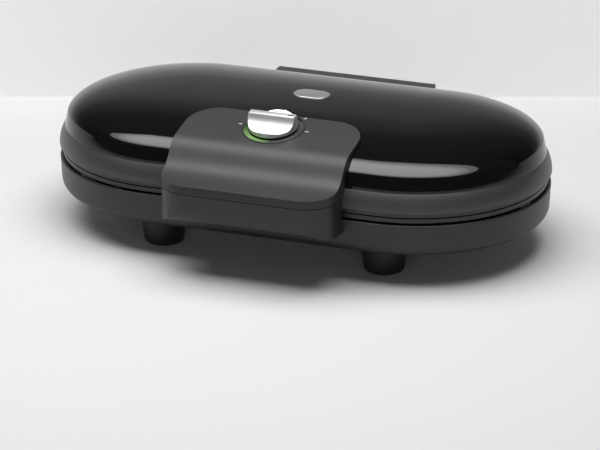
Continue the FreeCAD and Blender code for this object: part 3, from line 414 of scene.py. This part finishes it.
def rounded(corner, before, after, radius, steps=5):
    """Points of a fillet at a corner of a profile."""
    corner, before, after = Vector(corner), Vector(before), Vector(after)
    back, ahead = (before - corner).normalized(), (after - corner).normalized()
    half_angle = back.angle(ahead) / 2
    reach = radius / math.tan(half_angle)
    centre = corner + (back + ahead).normalized() * (radius / math.sin(half_angle))
    first, last = corner + back * reach - centre, corner + ahead * reach - centre
    points = []
    for step in range(steps + 1):
        mixed = first.lerp(last, step / steps).normalized() * radius
        points.append(tuple(centre + mixed))
    return points


def superellipse(radius, foot, crown, steps):
    """Points from the foot of the dome up to its crown: a cubic superellipse."""
    points = []
    for step in range(steps + 1):
        angle = math.pi / 2 * (1 - step / steps)
        across = radius * max(math.sin(angle), 0.0) ** (2 / 3)
        points.append((across, foot + (crown - foot) * max(math.cos(angle), 0.0) ** (2 / 3)))
    return points


def leaning_foot(start, lean, profile, join):
    """Replaces the foot of a profile by a curve that leans in from the seam and meets it smoothly."""
    meet, ahead = Vector(profile[join]), Vector(profile[join + 1])
    way = (ahead - meet).normalized()
    start, lean = Vector(start), Vector(lean).normalized()
    across = meet - start
    turn = lean.x * way.y - lean.y * way.x
    corner = start + lean * ((across.x * way.y - across.y * way.x) / turn)
    curve = []
    for step in range(FOOT_STEPS):
        t = step / FOOT_STEPS
        curve.append(tuple(start * (1 - t) ** 2 + corner * (2 * t * (1 - t)) + meet * t ** 2))
    return curve + profile[join:]


def build_dome():
    """Thin gloss shell of the lid, from the inside of its crown over the lip to the outside."""
    outer = superellipse(DOME_RADIUS, SEAM_Z, CROWN_Z, DOME_STEPS)
    outer = leaning_foot((DOME_RADIUS, SEAM_Z + FOOT_RISE), FOOT_LEAN, outer, FOOT_JOIN)
    inner = superellipse(DOME_RADIUS - COVER_WALL, SEAM_Z, CROWN_Z - COVER_WALL, DOME_INSIDE_STEPS)
    lip = rounded((DOME_RADIUS, SEAM_Z + LIP_RISE), inner[0], outer[1], LIP_RADIUS)
    mesh = sweep_stadium("gloss_dome", inner[::-1] + lip + outer[1:], closed=False)
    finish_piece(mesh, "gloss_dome", ["lid_cover"], "lid", "gloss_black")


def rim_side(radius, foot, top, inset, steps):
    """Side of the rim: upright at its foot and leaning in towards the seam."""
    rise = top - foot
    sweep_radius = (inset ** 2 + rise ** 2) / (2 * inset)
    turn = math.asin(rise / sweep_radius)
    return [(radius - sweep_radius * (1 - math.cos(turn * step / steps)),
             foot + sweep_radius * math.sin(turn * step / steps)) for step in range(steps + 1)]


def build_rim():
    """Satin ring under the dome, with the inner flange that the mould plate hangs from."""
    inset = END_RADIUS - DOME_RADIUS
    side = rim_side(END_RADIUS, RIM_FOOT_Z, SEAM_Z, inset, RIM_SIDE_STEPS)
    foot_edge = rounded(side[0], (END_RADIUS - RIM_WALL, RIM_FOOT_Z), side[2], RIM_FOOT_RADIUS)
    top_edge = rounded(side[-1], side[-3], (DOME_RADIUS - RIM_WALL, SEAM_Z), RIM_TOP_RADIUS)
    flange_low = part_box("upper_mould_plate")[0][2] + FLANGE_RISE
    flange_top = flange_low + FLANGE_TOP
    flange_underside = flange_low + FLANGE_UNDERSIDE
    wall_inside = END_RADIUS - RIM_WALL
    flange_edge = END_RADIUS - FLANGE_REACH
    inside = [
        (DOME_RADIUS - RIM_WALL, SEAM_Z), (wall_inside, flange_top),
        (flange_edge, flange_top), (flange_edge, flange_underside),
        (wall_inside, flange_underside), (wall_inside, RIM_FOOT_Z),
    ]
    mesh = sweep_stadium("satin_rim", foot_edge + side[2:-2] + top_edge + inside, closed=True)
    finish_piece(mesh, "satin_rim", ["lid_rim"], "lid", "rim_plastic")


def merged(mesh):
    """Editable copy of a CAD mesh with the corners of its triangles joined."""
    shape = bmesh.new()
    shape.from_mesh(mesh)
    bmesh.ops.remove_doubles(shape, verts=shape.verts, dist=MERGE_DISTANCE)
    return shape


def machined(node, edge):
    """A merged copy of a CAD node with flats dissolved, smooth shading and softened edges."""
    shape = merged(nodes[node].data)
    bmesh.ops.dissolve_limit(shape, angle_limit=math.radians(FLAT_ANGLE), verts=shape.verts,
                             edges=shape.edges)
    name = node + "_moulding"
    mesh = bpy.data.meshes.new(name)
    shape.to_mesh(mesh)
    shape.free()
    smooth_by_angle(mesh)
    piece = finish_piece(mesh, name, [node], body_of_node[node], slot_of_node[node])
    bevel = piece.modifiers.new("soft_edges", "BEVEL")
    bevel.width = edge
    bevel.segments = EDGE_SEGMENTS
    bevel.limit_method = "ANGLE"
    bevel.angle_limit = math.radians(CREASE_ANGLE)
    bevel.harden_normals = True


def solids_in(mesh):
    """Low and high corner of each separate solid in a CAD mesh."""
    shape = merged(mesh)
    waiting, boxes = set(shape.verts), []
    while waiting:
        stack = [waiting.pop()]
        points = []
        while stack:
            vert = stack.pop()
            points.append(vert.co.copy())
            for edge in vert.link_edges:
                other = edge.other_vert(vert)
                if other in waiting:
                    waiting.remove(other)
                    stack.append(other)
        low = Vector([min(point[axis] for point in points) for axis in range(3)])
        high = Vector([max(point[axis] for point in points) for axis in range(3)])
        boxes.append((low, high))
    shape.free()
    return sorted(boxes, key=lambda corners: tuple(corners[0]))


def build_screw_tree():
    """Upright cross-head screws on points: head with a cross recess below, shank above."""
    tree = bpy.data.node_groups.new("cross_head_screws", "GeometryNodeTree")
    face = tree.interface
    face.new_socket(name="Places", in_out="INPUT", socket_type="NodeSocketGeometry")
    for label, value in (("Head Radius", 0.003), ("Head Height", 0.002), ("Shank Radius", 0.0015),
                         ("Shank Length", 0.01), ("Recess Width", 0.0008)):
        face.new_socket(name=label, in_out="INPUT", socket_type="NodeSocketFloat").default_value = value
    face.new_socket(name="Metal", in_out="INPUT", socket_type="NodeSocketMaterial")
    face.new_socket(name="Geometry", in_out="OUTPUT", socket_type="NodeSocketGeometry")
    make, link = tree.nodes.new, tree.links.new
    inside, outside = make("NodeGroupInput"), make("NodeGroupOutput")

    def number(first, operation, second):
        node = make("ShaderNodeMath")
        node.operation = operation
        for socket, thing in zip(node.inputs, (first, second)):
            if isinstance(thing, float):
                socket.default_value = thing
            else:
                link(thing, socket)
        return node.outputs[0]

    def moved_up(mesh, rise):
        vector, move = make("ShaderNodeCombineXYZ"), make("GeometryNodeTransform")
        link(rise, vector.inputs["Z"])
        link(mesh, move.inputs["Geometry"])
        link(vector.outputs[0], move.inputs["Translation"])
        return move.outputs[0]

    def rod(radius, length, sides):
        node = make("GeometryNodeMeshCylinder")
        node.inputs["Vertices"].default_value = sides
        link(radius, node.inputs["Radius"])
        link(length, node.inputs["Depth"])
        return node.outputs["Mesh"]

    def bar(long_side):
        size, node = make("ShaderNodeCombineXYZ"), make("GeometryNodeMeshCube")
        long_way = number(inside.outputs["Head Radius"], "MULTIPLY", RECESS_LENGTH_SHARE)
        for axis in "XY":
            link(long_way if axis == long_side else inside.outputs["Recess Width"], size.inputs[axis])
        link(inside.outputs["Head Height"], size.inputs["Z"])
        link(size.outputs[0], node.inputs["Size"])
        return node.outputs["Mesh"]

    half_head = number(inside.outputs["Head Height"], "MULTIPLY", 0.5)
    half_shank = number(inside.outputs["Shank Length"], "MULTIPLY", 0.5)
    shank_rise = number(inside.outputs["Head Height"], "ADD", half_shank)
    plain_head = rod(inside.outputs["Head Radius"], inside.outputs["Head Height"], SCREW_HEAD_SIDES)
    plain_shank = rod(inside.outputs["Shank Radius"], inside.outputs["Shank Length"], SCREW_SHANK_SIDES)
    head = moved_up(plain_head, half_head)
    shank = moved_up(plain_shank, shank_rise)
    recess = make("GeometryNodeMeshBoolean")
    recess.operation = "DIFFERENCE"
    link(head, recess.inputs["Mesh 1"])
    for way in "XY":
        link(bar(way), recess.inputs["Mesh 2"])
    screw, instances = make("GeometryNodeJoinGeometry"), make("GeometryNodeInstanceOnPoints")
    realise, paint = make("GeometryNodeRealizeInstances"), make("GeometryNodeSetMaterial")
    link(recess.outputs["Mesh"], screw.inputs[0])
    link(shank, screw.inputs[0])
    link(inside.outputs["Places"], instances.inputs["Points"])
    link(screw.outputs[0], instances.inputs["Instance"])
    link(instances.outputs[0], realise.inputs[0])
    link(realise.outputs[0], paint.inputs["Geometry"])
    link(inside.outputs["Metal"], paint.inputs["Material"])
    link(paint.outputs[0], outside.inputs[0])
    return tree


screw_tree = build_screw_tree()


def cross_head_screws(node, head_height):
    """Screws in place of a CAD node's plain ones, at their places and of their size."""
    boxes = solids_in(nodes[node].data)
    low, high = boxes[0]
    head_radius = (high.x - low.x) / 2
    points = [((a.x + b.x) / 2, (a.y + b.y) / 2, a.z) for a, b in boxes]
    holder_mesh = bpy.data.meshes.new(node + "_places")
    holder_mesh.from_pydata(points, [], [])
    holder = bpy.data.objects.new(node + "_places", holder_mesh)
    bpy.context.scene.collection.objects.link(holder)
    modifier = holder.modifiers.new("screws", "NODES")
    modifier.node_group = screw_tree
    sockets = {item.name: item.identifier for item in screw_tree.interface.items_tree
               if item.in_out == "INPUT"}
    values = {
        "Head Radius": head_radius, "Head Height": head_height,
        "Shank Radius": SHANK_SHARE * head_radius, "Shank Length": high.z - low.z - head_height,
        "Recess Width": RECESS_WIDTH_SHARE * head_radius, "Metal": finishes[slot_of_node[node]],
    }
    for label, value in values.items():
        modifier[sockets[label]] = value
    bpy.context.view_layer.update()
    evaluated = holder.evaluated_get(bpy.context.evaluated_depsgraph_get())
    mesh = bpy.data.meshes.new_from_object(evaluated)
    mesh.name = node + "_cross_heads"
    bpy.data.objects.remove(holder)
    smooth_by_angle(mesh)
    finish_piece(mesh, node + "_cross_heads", [node], body_of_node[node], slot_of_node[node])


build_dome()
build_rim()
for node, edge in (
    ("lower_housing", 0.4), ("handle_panel", 0.5), ("handle_base", 0.3), ("hinge_housing", 0.5),
    ("hinge_cover", 0.4), ("rear_cover", 0.4), ("knob_cap", 0.3), ("knob_core", 0.2),
    ("cord_gland", 0.4), ("hinge_pin", 0.4), ("hinge_wire_tube", 0.3), ("dial_bezel", 0.15),
    ("badge", 0.15), ("lower_mould_plate", 0.6), ("upper_mould_plate", 0.6), ("foot_pads", 0.5),
    ("foot_front_left", 0.3), ("foot_front_right", 0.3), ("foot_rear_left", 0.3),
    ("foot_rear_right", 0.3), ("power_light_lens", 0.2), ("heat_light_lens", 0.2),
    ("knob_pointer", 0.1),
):
    machined(node, edge * MM)
for node, head_height in (("lower_plate_screws", 2.2), ("foot_screws", 2.2), ("handle_screws", 1.0)):
    cross_head_screws(node, head_height * MM)

for node, obj in nodes.items():
    obj.data.materials.clear()
    obj.data.materials.append(finishes[slot_of_node[node]])


# ------------------------------------------------------------------ stage, lights and camera

def stage_plane(name, corners, material):
    """Flat four-cornered part of the stage."""
    mesh = bpy.data.meshes.new(name)
    mesh.from_pydata(corners, [], [(0, 1, 2, 3)])
    mesh.materials.append(material)
    plane = bpy.data.objects.new(name, mesh)
    bpy.context.scene.collection.objects.link(plane)
    return plane


def stage_material(name, grey, one_sided=False):
    """Matte paint; a one-sided one is clear from behind."""
    material, tree, shader = new_material(name, (grey, grey, grey), 0.9, drift=0.02)
    shader.inputs["Specular IOR Level"].default_value = 0.1
    if one_sided:
        facing = tree.nodes.new("ShaderNodeNewGeometry")
        clear = tree.nodes.new("ShaderNodeBsdfTransparent")
        choice = tree.nodes.new("ShaderNodeMixShader")
        tree.links.new(facing.outputs["Backfacing"], choice.inputs["Fac"])
        tree.links.new(shader.outputs[0], choice.inputs[1])
        tree.links.new(clear.outputs[0], choice.inputs[2])
        tree.links.new(choice.outputs[0], tree.nodes["Material Output"].inputs["Surface"])
    return material


def paint_wall_falloff(tree):
    """Painted light on the wall: a pale band near the floor that falls away to painted shade above it,
    and a faint painted glow in the same colours.
    """
    shader = tree.nodes["Principled BSDF"]
    place = tree.nodes.new("ShaderNodeTexCoord")
    parts = tree.nodes.new("ShaderNodeSeparateXYZ")
    ramp = tree.nodes.new("ShaderNodeValToRGB")
    stops = ramp.color_ramp.elements
    while len(stops) < len(WALL_PAINTED_FALLOFF):
        stops.new(0.5)
    for stop, (height, share) in zip(stops, WALL_PAINTED_FALLOFF):
        grey = WALL_GREY * share
        stop.position = height
        stop.color = (grey, grey, grey, 1.0)
    tree.links.new(place.outputs["Object"], parts.inputs[0])
    tree.links.new(parts.outputs["Z"], ramp.inputs["Fac"])
    tree.links.new(ramp.outputs["Color"], shader.inputs["Base Color"])
    # The wall glows faintly in its own colours: a painted glow, not a lamp.
    tree.links.new(ramp.outputs["Color"], shader.inputs["Emission Color"])
    shader.inputs["Emission Strength"].default_value = WALL_PAINTED_GLOW


AZIMUTH = math.radians(20.24)
ELEVATION = math.radians(19.8)
DISTANCE = 2.859
LENS = 228.6
SENSOR = 36.0
LOOK_BELOW = 54.3 * MM
LOOK_LEFT = 2.6 * MM
to_camera = Vector((math.sin(AZIMUTH) * math.cos(ELEVATION), -math.cos(AZIMUTH) * math.cos(ELEVATION),
                    math.sin(ELEVATION)))
to_right = Vector((math.cos(AZIMUTH), math.sin(AZIMUTH), 0.0))
to_top = to_camera.cross(to_right)

FLOOR_REACH = 4.0
WALL_BEHIND = 0.30
WALL_HALF_WIDTH = 2.5
WALL_HEIGHT = 0.8
WALL_GREY = 0.86
# Painted light on the wall: the strength of its painted glow, then heights and shares of the wall grey
# that fall away to painted shade.
WALL_PAINTED_GLOW = 0.16
WALL_PAINTED_FALLOFF = ((0.12, 1.0), (0.17, 0.46), (0.23, 0.15), (0.3, 0.05), (0.55, 0.02))

ROOM_LIGHT = 0.06
KEY_SPOT = (-0.2, -0.05, 1.2)
KEY_AIM = (-0.2, -0.05, 0.0)
FILL_SPOT = (0.7, -2.2, 0.45)
FILL_AIM = (0, 0, 0.03)
SHEEN_SPOT = (-0.08, -0.18, 1.15)
SHEEN_AIM = (-0.08, -0.18, 0.0)
SHEEN_WIDTH = 1.75
SHEEN_DEPTH = 1.05
SHEEN_LAYERS = ((0.7, 13), (0.85, 17), (1.0, 18), (1.2, 15))


def pointed(spot, aim):
    """Transform of a camera or light at a spot that looks at an aim."""
    return Matrix.Translation(spot) @ (aim - spot).to_track_quat("-Z", "Y").to_matrix().to_4x4()


def build_camera():
    """Long lens from the front, a little above and to the right."""
    centre = Vector((0.0, 0.0, RIM_FOOT_Z))
    spot = centre + to_camera * DISTANCE
    aim = centre - to_top * LOOK_BELOW - to_right * LOOK_LEFT
    data = bpy.data.cameras.new("camera")
    data.sensor_width = SENSOR
    data.lens = LENS
    camera = bpy.data.objects.new("camera", data)
    camera.matrix_world = pointed(spot, aim)
    bpy.context.scene.collection.objects.link(camera)
    bpy.context.scene.camera = camera


def build_stage():
    """Pale floor, and a wall behind that only the front sees, with painted light that fades with
    height.
    """
    floor = stage_material("pale_floor", 0.72)
    wall = stage_material("pale_wall", 0.8, one_sided=True)
    paint_wall_falloff(wall.node_tree)
    corners = [(x * FLOOR_REACH, y * FLOOR_REACH, 0) for x, y in ((-1, -1), (1, -1), (1, 1), (-1, 1))]
    stage_plane("floor", corners, floor)
    back = Vector((-to_camera.x, -to_camera.y, 0)).normalized() * WALL_BEHIND
    left, right = back - to_right * WALL_HALF_WIDTH, back + to_right * WALL_HALF_WIDTH
    height = Vector((0, 0, WALL_HEIGHT))
    corners = [tuple(left), tuple(right), tuple(right + height), tuple(left + height)]
    stage_plane("wall", corners, wall)


def softbox(name, spot, aim, width, depth, power, shape="RECTANGLE"):
    """Area light that looks from a spot at an aim."""
    data = bpy.data.lights.new(name, "AREA")
    data.shape = shape
    data.size = width
    data.size_y = depth
    data.energy = power
    light = bpy.data.objects.new(name, data)
    light.matrix_world = pointed(Vector(spot), Vector(aim))
    bpy.context.scene.collection.objects.link(light)
    return light


def build_lights():
    """A softbox overhead, a weaker one low in front, and strips that make the sheen on the dome."""
    world = bpy.data.worlds.new("studio")
    world.use_nodes = True
    background = world.node_tree.nodes["Background"]
    background.inputs["Color"].default_value = (1.0, 1.0, 1.0, 1.0)
    background.inputs["Strength"].default_value = ROOM_LIGHT
    bpy.context.scene.world = world
    key = softbox("key_softbox", KEY_SPOT, KEY_AIM, 1.6, 1.1, 24)
    key.visible_glossy = False
    front_fill = softbox("front_fill", FILL_SPOT, FILL_AIM, 2.2, 0.6, 8)
    front_fill.visible_glossy = False
    for share, power in SHEEN_LAYERS:
        sheen = softbox("sheen_%d" % round(100 * share), SHEEN_SPOT, SHEEN_AIM,
                        SHEEN_WIDTH * share, SHEEN_DEPTH * share, power, "ELLIPSE")
        sheen.visible_diffuse = False


bpy.context.scene.view_settings.view_transform = "Standard"
build_camera()
build_stage()
build_lights()
